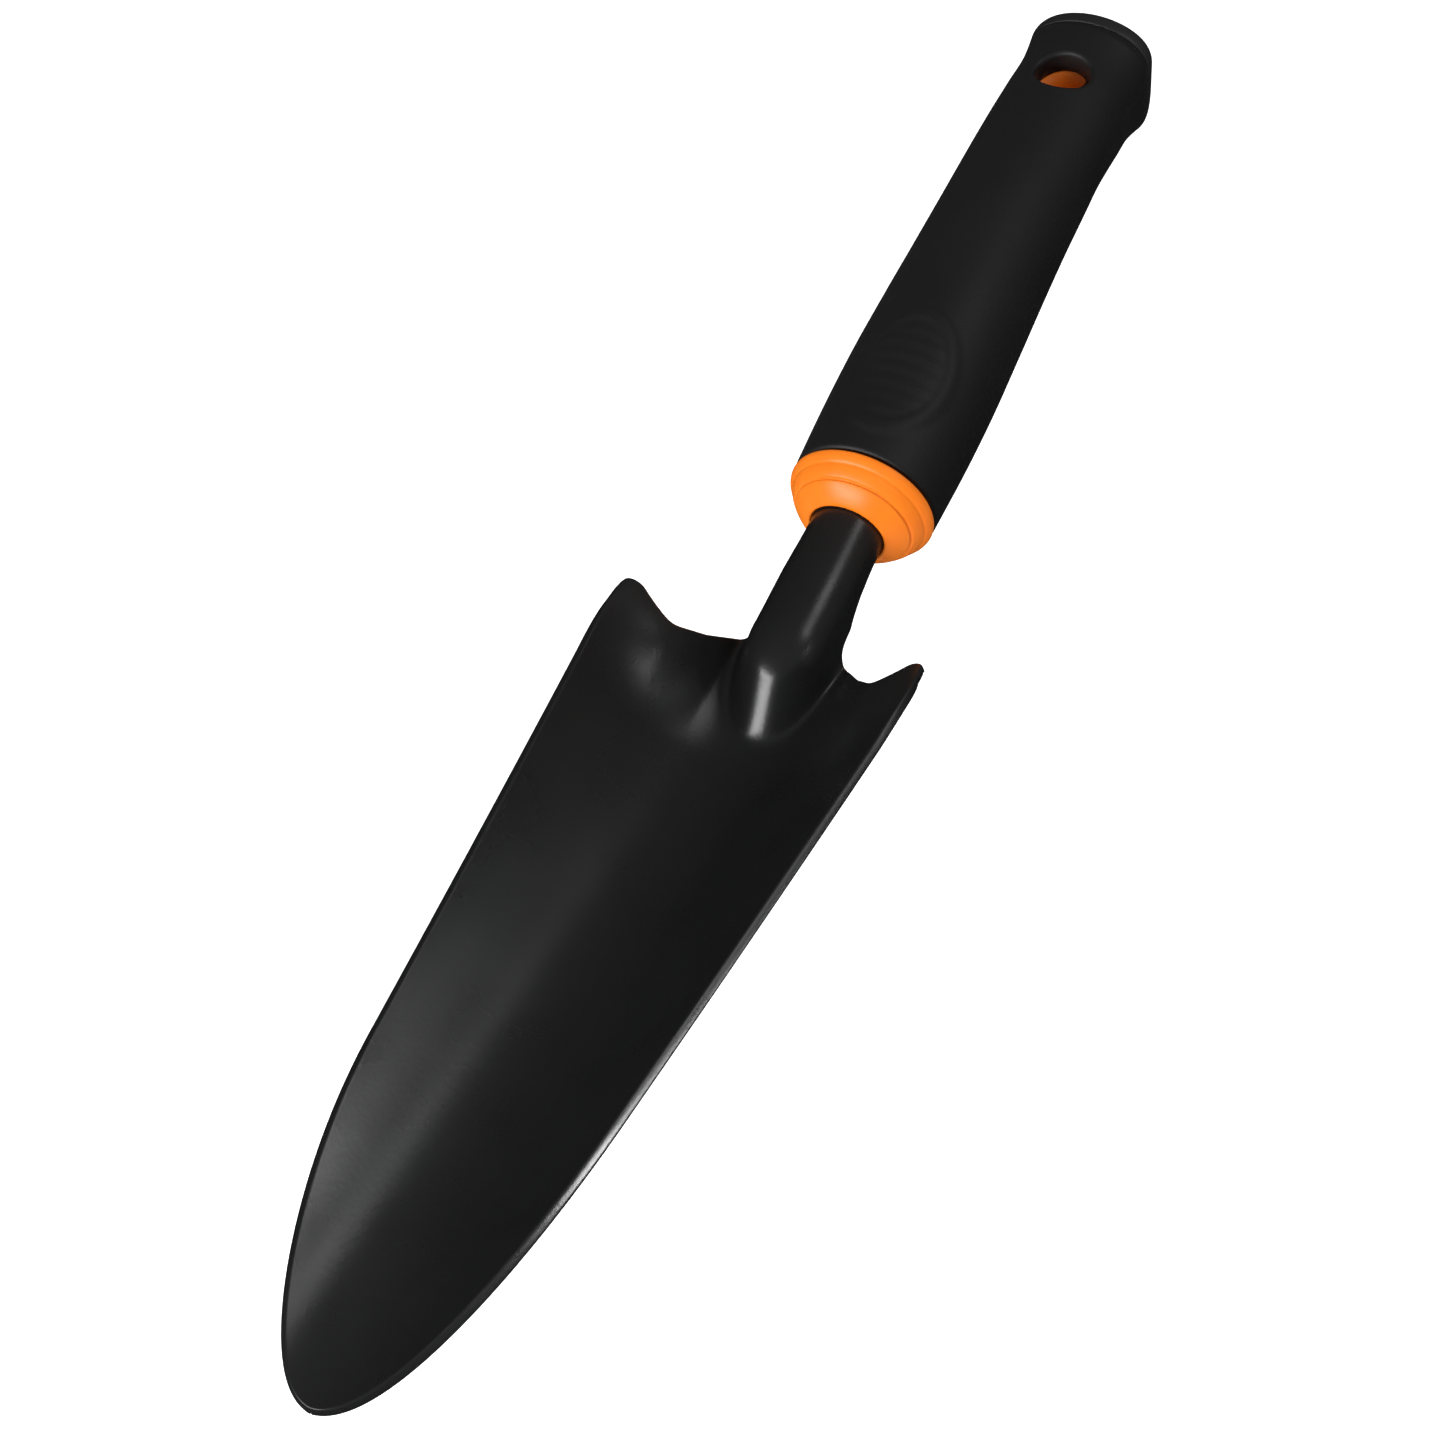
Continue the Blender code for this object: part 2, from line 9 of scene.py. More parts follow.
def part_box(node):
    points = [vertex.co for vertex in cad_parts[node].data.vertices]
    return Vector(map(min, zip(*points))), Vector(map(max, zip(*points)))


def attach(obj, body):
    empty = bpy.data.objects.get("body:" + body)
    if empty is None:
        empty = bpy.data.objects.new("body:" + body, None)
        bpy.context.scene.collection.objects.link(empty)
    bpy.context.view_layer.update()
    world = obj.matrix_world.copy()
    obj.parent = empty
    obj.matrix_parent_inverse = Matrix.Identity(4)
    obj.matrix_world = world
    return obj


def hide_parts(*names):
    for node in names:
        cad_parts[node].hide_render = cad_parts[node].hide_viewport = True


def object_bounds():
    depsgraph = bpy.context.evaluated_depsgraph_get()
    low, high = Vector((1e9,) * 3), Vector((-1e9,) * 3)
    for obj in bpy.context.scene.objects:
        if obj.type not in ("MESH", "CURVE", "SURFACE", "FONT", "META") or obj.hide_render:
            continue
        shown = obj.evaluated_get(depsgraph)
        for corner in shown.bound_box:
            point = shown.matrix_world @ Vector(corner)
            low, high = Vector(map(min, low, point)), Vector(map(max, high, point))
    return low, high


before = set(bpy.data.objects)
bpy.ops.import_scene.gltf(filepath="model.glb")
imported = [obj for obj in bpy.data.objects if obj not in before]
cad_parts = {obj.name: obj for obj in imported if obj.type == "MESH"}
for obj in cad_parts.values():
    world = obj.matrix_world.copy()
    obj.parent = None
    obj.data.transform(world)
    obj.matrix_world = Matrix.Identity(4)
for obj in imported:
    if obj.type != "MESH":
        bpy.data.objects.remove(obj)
cad_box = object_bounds()

# Lengths are in millimetres. A station is a distance in Y from the handle's collar line,
# positive into the handle; to_world() turns both into metres in the frame.
MM = 0.001


def box_mm(node):
    """Lowest and highest corner of a CAD node, in millimetres."""
    low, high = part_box(node)
    return np.array(low) / MM, np.array(high) / MM


blade_low, blade_high = box_mm("blade")
core_low = box_mm("handle_core")[0]
sleeve_low, sleeve_high = box_mm("grip_sleeve")
cap_high = box_mm("end_cap")[1]

# Places taken from the frame.
COLLAR_FRONT = 0.3
ZERO_Y = core_low[1] - COLLAR_FRONT
HANDLE_LENGTH = cap_high[1] - ZERO_Y
SLEEVE_FRONT = sleeve_low[1] - ZERO_Y
SLEEVE_REAR = sleeve_high[1] - ZERO_Y
JOINT_GAP = 0.3
CAP_FRONT = SLEEVE_REAR + JOINT_GAP
TANG_END = blade_high[1] - ZERO_Y

# Handle sections: station, half width, height above and depth below the axis.
GRIP_SECTIONS = (
    (8.0, 14.9, 14.9, 15.0),
    (25.0, 15.5, 15.5, 15.1),
    (40.0, 15.6, 16.1, 14.8),
    (55.0, 15.2, 16.3, 14.1),
    (70.0, 14.7, 16.0, 13.5),
    (85.0, 14.3, 15.4, 13.3),
    (100.0, 14.1, 13.9, 14.1),
    (112.0, 13.8, 12.8, 15.0),
    (122.0, 13.3, 12.0, 16.3),
    (132.0, 12.9, 10.4, 18.1),
    (HANDLE_LENGTH, 14.2, 10.0, 23.0),
)
ROUND_POWER = 2.0
REAR_POWER_BELOW = 4.5
SQUARING_START = 104.0
SLEEVE_WALL = 2.9
SLEEVE_EDGE = 0.9
END_ROUND = 5.3
HOLE_WALL_EXTRA = 3.2
HOLE_WALL_REACH = 26.0
HOLE_STATION = 122.3
HOLE_RADIUS = 5.8
HOLE_LIP = 1.1
HOLE_MARGIN = HOLE_RADIUS * 1.5

# Thumb pad on top of the sleeve: a raised rim, a sunken floor and plain ribs. Edges and
# their widths are shares of the pad's radius, depths are shares of its height.
PAD_CENTRE = 30.5
PAD_HALF_LENGTH = 16.0
PAD_HALF_WIDTH = 10.5
PAD_HEIGHT = 0.45
PAD_EDGE = 0.14
PAD_FLOOR_EDGE = 0.86
PAD_FLOOR_SLOPE = 0.10
PAD_FLOOR_DEPTH = 0.75
RIB_EDGE = 0.78
RIB_SLOPE = 0.12
RIB_SPACING = 3.4
RIB_HEIGHT = 0.35

# Sheet of the blade. The rounded rim reaches as far out as the CAD's outline.
SHEET = 1.8
RIM_ROUND = 0.4
TUBE_RADIUS = 7.4
NECK_SWELL = 0.55
NECK_SWELL_LENGTH = 16.0
NECK_SINK = 0.35
SEAM_ANGLE = math.radians(168.0)
TIP_STATION = blade_low[1] - ZERO_Y + RIM_ROUND
NOSE_STATION = -48.6
NOSE_Z = -6.9
TIP_Z = 36.2
CROSS_CURVE = 0.029
TIP_WIDTH = 17.15
SIDE_TAPER = 0.0785
TIP_LENGTH = 62.0
TIP_POWER = 2.15
HORN_STATION = -31.8 - RIM_ROUND
HORN_ROUND = 3.5
HORN_CUT = 1.3
NECK_X = 11.3
EDGE_KINK_X = 19.7
EDGE_KINK_STATION = -36.5 - RIM_ROUND
EDGE_INNER_SLOPE = 1.13
EDGE_OUTER_SLOPE = 0.515
EDGE_KINK_Z = 7.7
EDGE_INNER_RISE = 1.43
EDGE_OUTER_RISE = 0.74
EDGE_KINK_ROUND = 1.6
FLOOR_BLEND_STATION = -56.0
RIDGE_TOP = TUBE_RADIUS + NECK_SWELL - NECK_SINK
CROWN_RADIUS = TUBE_RADIUS + NECK_SWELL
FLANK_ANGLE = math.radians(74.0)
FOOT_RADIUS = 2.6
NOSE_LENGTH = 21.0
NOSE_STRETCH = 1.6
NOSE_ANGLE = math.radians(60.0)
NOSE_FOOT_RADIUS = 1.6
OUTLINE_X = 30.0

# Neck: opened sheet with a narrowing flange at its front, closed tube at its rear.
NECK_FRONT = EDGE_KINK_STATION + EDGE_INNER_SLOPE * (EDGE_KINK_X - NECK_X)
NECK_REAR = -4.0
FLANGE_END = -22.0
CURL_END = -9.0
FLANGE_X = 9.1
FLANGE_LENGTH = 1.9


def to_world(points):
    """Millimetres and stations to metres in the frame."""
    return [(x * MM, (station + ZERO_Y) * MM, z * MM) for x, station, z in points]


def smooth_step(value):
    """Rise from 0 to 1 with level ends."""
    held = min(max(value, 0.0), 1.0)
    return held * held * (3.0 - 2.0 * held)


def soft_hinge(distance, rounding):
    """0 before a corner and the distance after it, with the corner rounded."""
    return 0.5 * (distance + math.hypot(distance, rounding))


def smooth_through(stations, values, station):
    """A smooth curve through a few values, held level beyond its ends."""
    last = len(stations) - 1
    if station <= stations[0]:
        return values[0]
    if station >= stations[last]:
        return values[last]
    index = int(np.searchsorted(stations, station, side="right")) - 1
    slopes = []
    for knot in (index, index + 1):
        before = max(knot - 1, 0)
        after = min(knot + 1, last)
        slopes.append((values[after] - values[before]) / (stations[after] - stations[before]))
    span = stations[index + 1] - stations[index]
    t = (station - stations[index]) / span
    start_weight = 1.0 - smooth_step(t)
    start_slope = slopes[0] * span * t * (1.0 - t) ** 2
    end_slope = slopes[1] * span * t * t * (t - 1.0)
    level = values[index] * start_weight + values[index + 1] * (1.0 - start_weight)
    return level + start_slope + end_slope


# Mesh helpers ----------------------------------------------------------------


def make_piece(name, surface, material, replaced):
    """A closed mesh riding on the root body and standing for one CAD node."""
    mesh = bpy.data.meshes.new(name)
    mesh.from_pydata(to_world(surface.points), [], surface.faces)
    build = bmesh.new()
    build.from_mesh(mesh)
    bmesh.ops.recalc_face_normals(build, faces=build.faces)
    build.to_mesh(mesh)
    build.free()
    mesh.materials.append(material)
    piece = bpy.data.objects.new(name, mesh)
    bpy.context.scene.collection.objects.link(piece)
    mesh.shade_smooth()
    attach(piece, "root")
    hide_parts(replaced)


class Surface:
    """Points and faces gathered for one closed mesh."""

    def __init__(self):
        self.points = []
        self.faces = []

    def add_ring(self, points):
        """Add points and give their indices."""
        start = len(self.points)
        self.points += list(points)
        return list(range(start, start + len(points)))

    def join(self, first, second, closed=True):
        """Quads between two rows of indices of the same length."""
        count = len(first) if closed else len(first) - 1
        for step in range(count):
            after = (step + 1) % len(first)
            self.faces.append((first[step], first[after], second[after], second[step]))

    def loft(self, rings):
        """Join rings of points in turn; gives the first and last rows of indices."""
        rows = [self.add_ring(ring) for ring in rings]
        for before, after in zip(rows, rows[1:]):
            self.join(before, after)
        return rows[0], rows[-1]

    def cap(self, row, towards, steps):
        """Close a ring with rings that shrink to a point."""
        ring = [self.points[index] for index in row]
        last = row
        for step in range(1, steps):
            share = step / steps
            shrunk = [tuple(np.array(p) + (np.array(towards) - np.array(p)) * share) for p in ring]
            indices = self.add_ring(shrunk)
            self.join(last, indices)
            last = indices
        centre = self.add_ring([tuple(towards)])[0]
        for step in range(len(last)):
            self.faces.append((last[step], last[(step + 1) % len(last)], centre))


# Handle ----------------------------------------------------------------------

# How finely the handle is divided: sides of its sections, distances between its rings
# and numbers of steps in its rounded edges.
SIDES = 128
PLAIN_STEP = 1.3
HOLE_STEP = 0.75
PAD_STEP = 0.42
LAST_STEP = 0.4
PAD_ZONE = PAD_HALF_LENGTH * 1.3
HOLE_ZONE = HOLE_RADIUS * 2.2
PATCH_STEPS = 7
LIP_STEPS = 7
SLEEVE_EDGE_STEPS = 5
CAP_EDGE = 0.3
CAP_STEPS = 18

# Heights of the points where the flat ends close, and steps towards them.
CORE_END_CENTRE_Z = -3.0
CAP_FRONT_CENTRE_Z = -4.0
CAP_REAR_CENTRE_Z = -6.0
CORE_END_STEPS = 6
CAP_FRONT_STEPS = 3
CAP_REAR_STEPS = 8


def grip_size(station):
    """Half width, height above and depth below the axis of the grip's outside."""
    stations = [section[0] for section in GRIP_SECTIONS]
    sizes = []
    for column in range(1, len(GRIP_SECTIONS[0])):
        values = [section[column] for section in GRIP_SECTIONS]
        sizes.append(smooth_through(stations, values, station))
    return sizes


def power_below(station):
    """Squareness of the section below the axis: round in front, boxy at the rear."""
    share = smooth_step((station - SQUARING_START) / (HANDLE_LENGTH - SQUARING_START))
    return ROUND_POWER + (REAR_POWER_BELOW - ROUND_POWER) * share


def section_ring(station, half_width, above, below):
    """One closed ring of points around the handle's axis."""
    squareness = power_below(station)
    points = []
    for step in range(SIDES):
        angle = 2.0 * math.pi * step / SIDES
        across = math.cos(angle)
        up = math.sin(angle)
        power = ROUND_POWER if up > 0.0 else squareness
        height = above if up > 0.0 else below
        x = half_width * math.copysign(abs(across) ** (2.0 / power), across)
        z = height * math.copysign(abs(up) ** (2.0 / power), up)
        points.append((x, station, z))
    return points


def grip_sizes_inset(station, inset):
    """The grip's section sizes, moved inwards."""
    half_width, above, below = grip_size(station)
    return half_width - inset, above - inset, below - inset


def end_inset(station):
    """How far the rounded rear end has drawn in."""
    past = max(station - (HANDLE_LENGTH - END_ROUND), 0.0)
    return END_ROUND - math.sqrt(max(END_ROUND**2 - past**2, 0.0))


def outer_sizes(station):
    """The outside of the sleeve and the cap, drawn in at the rounded rear end."""
    return grip_sizes_inset(station, end_inset(station))


def core_sizes(station, gap):
    """Section sizes of the core under the sleeve, or of the sleeve's inside."""
    half_width, above, below = grip_size(station)
    near_hole = smooth_step(1.0 - abs(station - HOLE_STATION) / HOLE_WALL_REACH)
    wall = SLEEVE_WALL - gap
    vertical_wall = wall + HOLE_WALL_EXTRA * near_hole
    return half_width - wall, above - vertical_wall, below - vertical_wall


def surface_z(sizes, station, x, side):
    """Height of a section's surface at x, on top for side 1 or below for side -1."""
    power = ROUND_POWER if side > 0 else power_below(station)
    height = sizes[1] if side > 0 else sizes[2]
    reach = min(abs(x) / sizes[0], 1.0)
    return side * height * (1.0 - reach**power) ** (1.0 / power)


def pad_lift(x, station):
    """Height of the thumb pad above the sleeve: a raised rim around plain ribs."""
    away = math.hypot(x / PAD_HALF_WIDTH, (station - PAD_CENTRE) / PAD_HALF_LENGTH)
    if away > 1.0 + PAD_EDGE:
        return 0.0
    rim = smooth_step((1.0 + 0.5 * PAD_EDGE - away) / PAD_EDGE)
    floor = smooth_step((PAD_FLOOR_EDGE - away) / PAD_FLOOR_SLOPE)
    ribs = 0.5 + 0.5 * math.cos(2.0 * math.pi * (station - PAD_CENTRE) / RIB_SPACING)
    rib_zone = smooth_step((RIB_EDGE - away) / RIB_SLOPE)
    return PAD_HEIGHT * (rim - PAD_FLOOR_DEPTH * floor + RIB_HEIGHT * floor * rib_zone * ribs)


def ring_distance(station):
    """Distance from one ring of the handle to the next."""
    near_pad = abs(station - PAD_CENTRE) < PAD_ZONE
    near_end = station > HANDLE_LENGTH - END_ROUND - PLAIN_STEP
    if near_pad or near_end:
        return PAD_STEP
    if abs(station - HOLE_STATION) < HOLE_ZONE:
        return HOLE_STEP
    return PLAIN_STEP


def pierced_stations():
    """Stations of the fine sleeve, closer together at the pad, the hole and the rear end."""
    stations = [SLEEVE_FRONT + SLEEVE_EDGE]
    while stations[-1] < SLEEVE_REAR - LAST_STEP:
        stations.append(stations[-1] + ring_distance(stations[-1]))
    stations[-1] = SLEEVE_REAR
    return stations


def hole_spans(surface, ring):
    """Side, middle step and half count of steps that each hole's opening takes from a ring."""
    spans = []
    for side, centre in ((1, SIDES // 4), (-1, 3 * SIDES // 4)):
        half = 1
        while abs(surface.points[ring[centre + half]][0]) < HOLE_MARGIN:
            half += 1
        spans.append((side, centre, half))
    return spans


def opening_loop(grid, first_row, last_row, centre, half):
    """Indices around the square opening that is left for a hole."""
    loop = [grid[first_row][step] for step in range(centre - half, centre + half)]
    loop += [grid[row][centre + half] for row in range(first_row, last_row)]
    loop += [grid[last_row][step] for step in range(centre + half, centre - half, -1)]
    loop += [grid[row][centre - half] for row in range(last_row, first_row, -1)]
    return loop


def pierced_wall(surface, stations, size_at, lift_at, lip):
    """A tube of the handle's section with a round hole through its top and bottom.

    Gives the rows of indices at its two ends and at the edges of its two holes.
    """
    grid = []
    for station in stations:
        ring = section_ring(station, *size_at(station))
        if lift_at:
            ring = [(x, s, z + (lift_at(x, s) if z > 0.0 else 0.0)) for x, s, z in ring]
        grid.append(surface.add_ring(ring))
    inside = [i for i, s in enumerate(stations) if abs(s - HOLE_STATION) < HOLE_MARGIN]
    first_row, last_row = inside[0], inside[-1]
    spans = hole_spans(surface, grid[first_row])
    for row in range(len(stations) - 1):
        crosses_hole = first_row <= row < last_row
        for step in range(SIDES):
            in_hole = any(centre - half <= step < centre + half for _, centre, half in spans)
            if crosses_hole and in_hole:
                continue
            after = (step + 1) % SIDES
            here, there = grid[row], grid[row + 1]
            surface.faces.append((here[step], here[after], there[after], there[step]))
    holes = []
    for side, centre, half in spans:
        loop = opening_loop(grid, first_row, last_row, centre, half)
        holes.append(hole_patch(surface, loop, size_at, side, lip))
    return grid[0], grid[-1], holes


def lip_rings(angles, rim, size_at, side, lip):
    """Rings of the rounded lip, from the wall down into the hole."""
    levels = [surface_z(size_at(s), s, x, side) for x, s in rim]
    rings = []
    for step in range(1, LIP_STEPS + 1):
        turn = 0.5 * math.pi * step / LIP_STEPS
        radius = HOLE_RADIUS + lip - lip * math.sin(turn)
        sunk = side * lip * (1.0 - math.cos(turn))
        ring = []
        for angle, level in zip(angles, levels):
            x = radius * math.cos(angle)
            s = HOLE_STATION + radius * math.sin(angle)
            ring.append((x, s, level - sunk))
        rings.append(ring)
    return rings


def hole_patch(surface, loop, size_at, side, lip):
    """Rings from a square opening in the wall to a round hole with a rounded lip."""
    corners = [surface.points[index] for index in loop]
    angles = [math.atan2(s - HOLE_STATION, x) for x, s, _ in corners]
    radius = HOLE_RADIUS + lip
    rim = [(radius * math.cos(a), HOLE_STATION + radius * math.sin(a)) for a in angles]
    rings = []
    for step in range(1, PATCH_STEPS + 1):
        share = step / PATCH_STEPS
        ring = []
        for (x, s, _), (rim_x, rim_s) in zip(corners, rim):
            new_x = x + (rim_x - x) * share
            new_s = s + (rim_s - s) * share
            ring.append((new_x, new_s, surface_z(size_at(new_s), new_s, new_x, side)))
        rings.append(ring)
    if lip > 0.0:
        rings += lip_rings(angles, rim, size_at, side, lip)
    last = loop
    for ring in rings:
        indices = surface.add_ring(ring)
        surface.join(last, indices)
        last = indices
    return last


def build_sleeve(material):
    """Soft sleeve: fine outer skin with the pad, its inside and the hole's walls."""
    surface = Surface()
    stations = pierced_stations()
    outer = pierced_wall(surface, stations, outer_sizes, pad_lift, HOLE_LIP)
    inner = pierced_wall(surface, stations, lambda s: core_sizes(s, JOINT_GAP), None, 0.0)
    for outside, inside in zip(outer[2], inner[2]):
        surface.join(outside, inside)
    previous = outer[0]
    for step in range(1, SLEEVE_EDGE_STEPS + 1):
        turn = 0.5 * math.pi * step / SLEEVE_EDGE_STEPS
        inset = SLEEVE_EDGE * (1.0 - math.cos(turn))
        station = stations[0] - SLEEVE_EDGE * math.sin(turn)
        row = surface.add_ring(section_ring(station, *grip_sizes_inset(station, inset)))
        surface.join(previous, row)
        previous = row
    step_row = surface.add_ring(section_ring(SLEEVE_FRONT, *core_sizes(SLEEVE_FRONT, JOINT_GAP)))
    surface.join(previous, step_row)
    surface.join(step_row, inner[0])
    surface.join(outer[1], inner[1])
    make_piece("grip_sleeve_skin", surface, material, "grip_sleeve")


# Stepped collar: station and radius of its corners, and the shares of each side where
# its rings lie, so that the corners are slightly rounded.
COLLAR_PROFILE = (
    (0.3, 8.2),
    (0.6, 8.8),
    (1.3, 9.8),
    (2.3, 11.0),
    (3.3, 12.0),
    (3.45, 11.85),
    (3.75, 11.95),
    (3.9, 12.5),
    (4.8, 13.2),
    (5.7, 13.7),
    (6.2, 13.85),
    (6.6, 14.3),
    (7.4, 14.8),
    (8.1, 15.0),
    (8.5, 14.95),
    (8.7, 13.9),
    (9.0, 13.9),
)
COLLAR_SHARES = (0.12, 0.5, 0.88)
SOCKET_RADIUS = TUBE_RADIUS + JOINT_GAP
SOCKET_END = TANG_END + 1.5
SOCKET_STATIONS = (COLLAR_FRONT + 0.25, 10.0, 40.0, SOCKET_END)


def collar_rings():
    """Rings of the stepped collar."""
    profile = []
    for (s0, r0), (s1, r1) in zip(COLLAR_PROFILE, COLLAR_PROFILE[1:]):
        for share in COLLAR_SHARES:
            profile.append((s0 + (s1 - s0) * share, r0 + (r1 - r0) * share))
    return [section_ring(s, r, r, r) for s, r in profile]


def build_core(material):
    """Orange core: stepped collar, body under the sleeve, socket and hole."""
    surface = Surface()
    first, last = surface.loft(collar_rings())
    stations = [SLEEVE_FRONT] + pierced_stations()[1:]
    body = pierced_wall(surface, stations, lambda s: core_sizes(s, 0.0), None, 0.0)
    surface.join(last, body[0])
    top, bottom = body[2]
    join_bore(surface, top, bottom)
    surface.cap(body[1], (0.0, SLEEVE_REAR, CORE_END_CENTRE_Z), CORE_END_STEPS)
    mouth = SOCKET_RADIUS + 0.5 * (COLLAR_PROFILE[0][1] - SOCKET_RADIUS)
    socket = [section_ring(COLLAR_FRONT, mouth, mouth, mouth)]
    for station in SOCKET_STATIONS:
        socket.append(section_ring(station, SOCKET_RADIUS, SOCKET_RADIUS, SOCKET_RADIUS))
    front, back = surface.loft(socket)
    surface.join(first, front)
    surface.cap(back, (0.0, SOCKET_END, 0.0), CORE_END_STEPS)
    make_piece("handle_core_body", surface, material, "handle_core")


def join_bore(surface, top, bottom):
    """Wall of the core's bore: triangles between two edges that may differ in count."""

    def angle(index):
        x, s, _ = surface.points[index]
        return math.atan2(s - HOLE_STATION, x)

    first = sorted(top, key=angle)
    second = sorted(bottom, key=angle)
    i = j = 0
    while i < len(first) or j < len(second):
        next_first = angle(first[i]) if i < len(first) else math.inf
        next_second = angle(second[j]) if j < len(second) else math.inf
        here = first[(i - 1) % len(first)]
        there = second[(j - 1) % len(second)]
        if next_first <= next_second:
            surface.faces.append((here, first[i % len(first)], there))
            i += 1
        else:
            surface.faces.append((here, second[j % len(second)], there))
            j += 1


def build_cap(material):
    """Rear cap with a rounded edge."""
    surface = Surface()
    rings = []
    for share in (0.0, 0.5, 1.0):
        station = CAP_FRONT + CAP_EDGE * share
        inset = end_inset(station) + CAP_EDGE * (1.0 - math.sin(0.5 * math.pi * share))
        rings.append(section_ring(station, *grip_sizes_inset(station, inset)))
    first_angle = math.asin(1.0 - (HANDLE_LENGTH - CAP_FRONT - CAP_EDGE) / END_ROUND)
    for step in range(1, CAP_STEPS + 1):
        angle = first_angle + (0.5 * math.pi - first_angle) * step / CAP_STEPS
        station = HANDLE_LENGTH - END_ROUND * (1.0 - math.sin(angle))
        rings.append(section_ring(station, *outer_sizes(station)))
    first, last = surface.loft(rings)
    surface.cap(first, (0.0, CAP_FRONT, CAP_FRONT_CENTRE_Z), CAP_FRONT_STEPS)
    surface.cap(last, (0.0, HANDLE_LENGTH, CAP_REAR_CENTRE_Z), CAP_REAR_STEPS)
    make_piece("end_cap_shell", surface, material, "end_cap")


# Blade -----------------------------------------------------------------------


def blade_half_width(station):
    """Half width of the blade's outline."""
    distance = max(station - TIP_STATION, 0.0)
    width = TIP_WIDTH + SIDE_TAPER * distance
    if distance < TIP_LENGTH:
        width *= math.sqrt(max(1.0 - (1.0 - distance / TIP_LENGTH) ** TIP_POWER, 0.0))
    past = min(max(station - (HORN_STATION - HORN_ROUND), 0.0), HORN_ROUND)
    return max(width - HORN_CUT * (past / HORN_ROUND) ** 2 - RIM_ROUND, 0.0)


def middle_height(station):
    """Height of the blade's floor along its middle."""
    slope = (TIP_Z - NOSE_Z) / (TIP_STATION - NOSE_STATION)
    return NOSE_Z + slope * (station - NOSE_STATION)


def top_edge(x):
    """Station and height of the blade's top edge at a distance from the middle."""
    inner = soft_hinge(EDGE_KINK_X - x, EDGE_KINK_ROUND)
    outer = soft_hinge(x - EDGE_KINK_X, EDGE_KINK_ROUND)
    station = EDGE_KINK_STATION + EDGE_INNER_SLOPE * inner + EDGE_OUTER_SLOPE * outer
    height = EDGE_KINK_Z - EDGE_INNER_RISE * inner + EDGE_OUTER_RISE * outer
    horn = blade_half_width(HORN_STATION - HORN_ROUND) - x
    if horn < HORN_ROUND:
        station -= HORN_ROUND - math.sqrt(max(HORN_ROUND**2 - (HORN_ROUND - horn) ** 2, 0.0))
    return station, height


def floor_height(x, station):
    """Height of the blade's floor, without the thumb ridge."""
    plain = middle_height(station) + CROSS_CURVE * x * x
    edge_x = max(abs(x), NECK_X)
    edge_station, edge_height = top_edge(edge_x)
    edge_plain = middle_height(edge_station) + CROSS_CURVE * edge_x * edge_x
    share = smooth_step((station - FLOOR_BLEND_STATION) / (edge_station - FLOOR_BLEND_STATION))
    return plain + (edge_height - edge_plain) * share


def ridge_drop(reach, flank):
    """How far the ridge has fallen at a distance from its crown line, down to a flank's slope."""
    crown_end = CROWN_RADIUS * math.sin(flank)
    if reach <= crown_end:
        return CROWN_RADIUS - math.sqrt(CROWN_RADIUS**2 - reach**2)
    return CROWN_RADIUS * (1.0 - math.cos(flank)) + (reach - crown_end) * math.tan(flank)


def blade_height(x, station):
    """Height of the blade's hollow side, with the thumb ridge."""
    floor = floor_height(x, station)
    ahead = max(NOSE_STATION + NOSE_LENGTH - station, 0.0) / NOSE_STRETCH
    reach = math.hypot(x, ahead)
    share = (ahead / reach) ** 2 if ahead > 0.0 else 0.0
    flank = FLANK_ANGLE + (NOSE_ANGLE - FLANK_ANGLE) * share
    ridge = RIDGE_TOP - ridge_drop(reach, flank)
    foot = FOOT_RADIUS + (NOSE_FOOT_RADIUS - FOOT_RADIUS) * share
    return floor + soft_hinge(ridge - floor, foot)


# How finely the sheet is divided: columns over the ridge and the wings, rows from the
# tang to the tip, and steps around the rim.
RIDGE_COUNT = 40
RIDGE_CROWDING = 0.09
WING_COUNT = 38
TANG_STEPS = 12
TUBE_STEPS = 6
NECK_STEPS = 60
NECK_CROWDING = 1.4
NOSE_ZONE_END = -54.0
NOSE_ROWS = 61
FLOOR_ROWS = 81
TIP_ROWS = 34
TIP_ZONE_START = TIP_STATION + TIP_LENGTH * 0.5
RIM_STEPS = 9
RIM_POWER = 0.6
SMALLEST_LENGTH = 1e-9


def ridge_columns():
    """Distances from the middle of the columns over the ridge, closer on its flank."""
    columns = []
    for step in range(RIDGE_COUNT + 1):
        share = step / RIDGE_COUNT
        columns.append(NECK_X * (share + RIDGE_CROWDING * math.sin(2.0 * math.pi * share)))
    return columns


def wing_columns():
    """Distances from the middle of the columns out to the blade's outline."""
    columns = []
    for step in range(1, WING_COUNT + 1):
        share = math.sin(0.5 * math.pi * step / WING_COUNT) * 0.5 + 0.5 * step / WING_COUNT
        columns.append(NECK_X + (OUTLINE_X - NECK_X) * share)
    return columns


def blade_row(row_station, fade, columns):
    """Points of one row from the middle to the outline, right half."""
    points = []
    for x_top in columns:
        station = row_station + min(top_edge(x_top)[0] - NECK_FRONT, 0.0) * fade
        x = x_top * blade_half_width(station) / OUTLINE_X
        points.append((x, station, blade_height(x, station)))
    return points


